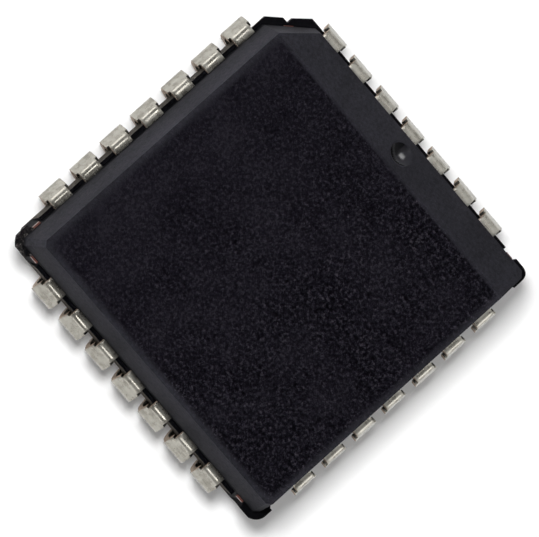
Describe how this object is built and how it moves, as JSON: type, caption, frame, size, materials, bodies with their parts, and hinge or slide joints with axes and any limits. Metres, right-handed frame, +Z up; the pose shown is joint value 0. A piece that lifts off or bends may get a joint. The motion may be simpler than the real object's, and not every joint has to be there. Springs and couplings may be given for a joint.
{
  "type": "plcc chip package",
  "caption": "Square black moulded chip carrier with J-shaped tinned leads on every side, a bevelled pin-one edge with a round dimple, one cut corner and corner posts.",
  "frame": {"origin": "middle of the seating plane, where the lead feet touch the board", "axes": "+Z up from the board, +Y towards the side with the bevel and pin 1, cut corner at -X +Y"},
  "size_m": [0.0124, 0.0124, 0.0044],
  "materials": {
    "resin": "fine matte moulding",
    "tinned_lead": "dull tin plate",
    "copper": "bare copper alloy",
    "silver_epoxy": "silver-filled epoxy",
    "silicon": "polished silicon",
    "gold": "bright gold wire"
  },
  "bodies": {
    "root": {"body": "resin", "lead_01": "tinned_lead", "lead_02": "tinned_lead", "lead_03": "tinned_lead", "lead_04": "tinned_lead", "lead_05": "tinned_lead", "lead_06": "tinned_lead", "lead_07": "tinned_lead", "lead_08": "tinned_lead", "lead_09": "tinned_lead", "lead_10": "tinned_lead", "lead_11": "tinned_lead", "lead_12": "tinned_lead", "lead_13": "tinned_lead", "lead_14": "tinned_lead", "lead_15": "tinned_lead", "lead_16": "tinned_lead", "lead_17": "tinned_lead", "lead_18": "tinned_lead", "lead_19": "tinned_lead", "lead_20": "tinned_lead", "lead_21": "tinned_lead", "lead_22": "tinned_lead", "lead_23": "tinned_lead", "lead_24": "tinned_lead", "lead_25": "tinned_lead", "lead_26": "tinned_lead", "lead_27": "tinned_lead", "lead_28": "tinned_lead", "die_paddle": "copper", "die_attach": "silver_epoxy", "die": "silicon", "wire_01": "gold", "wire_02": "gold", "wire_03": "gold", "wire_04": "gold", "wire_05": "gold", "wire_06": "gold", "wire_07": "gold", "wire_08": "gold", "wire_09": "gold", "wire_10": "gold", "wire_11": "gold", "wire_12": "gold", "wire_13": "gold", "wire_14": "gold", "wire_15": "gold", "wire_16": "gold", "wire_17": "gold", "wire_18": "gold", "wire_19": "gold", "wire_20": "gold", "wire_21": "gold", "wire_22": "gold", "wire_23": "gold", "wire_24": "gold", "wire_25": "gold", "wire_26": "gold", "wire_27": "gold", "wire_28": "gold"}
  },
  "joints": []
}
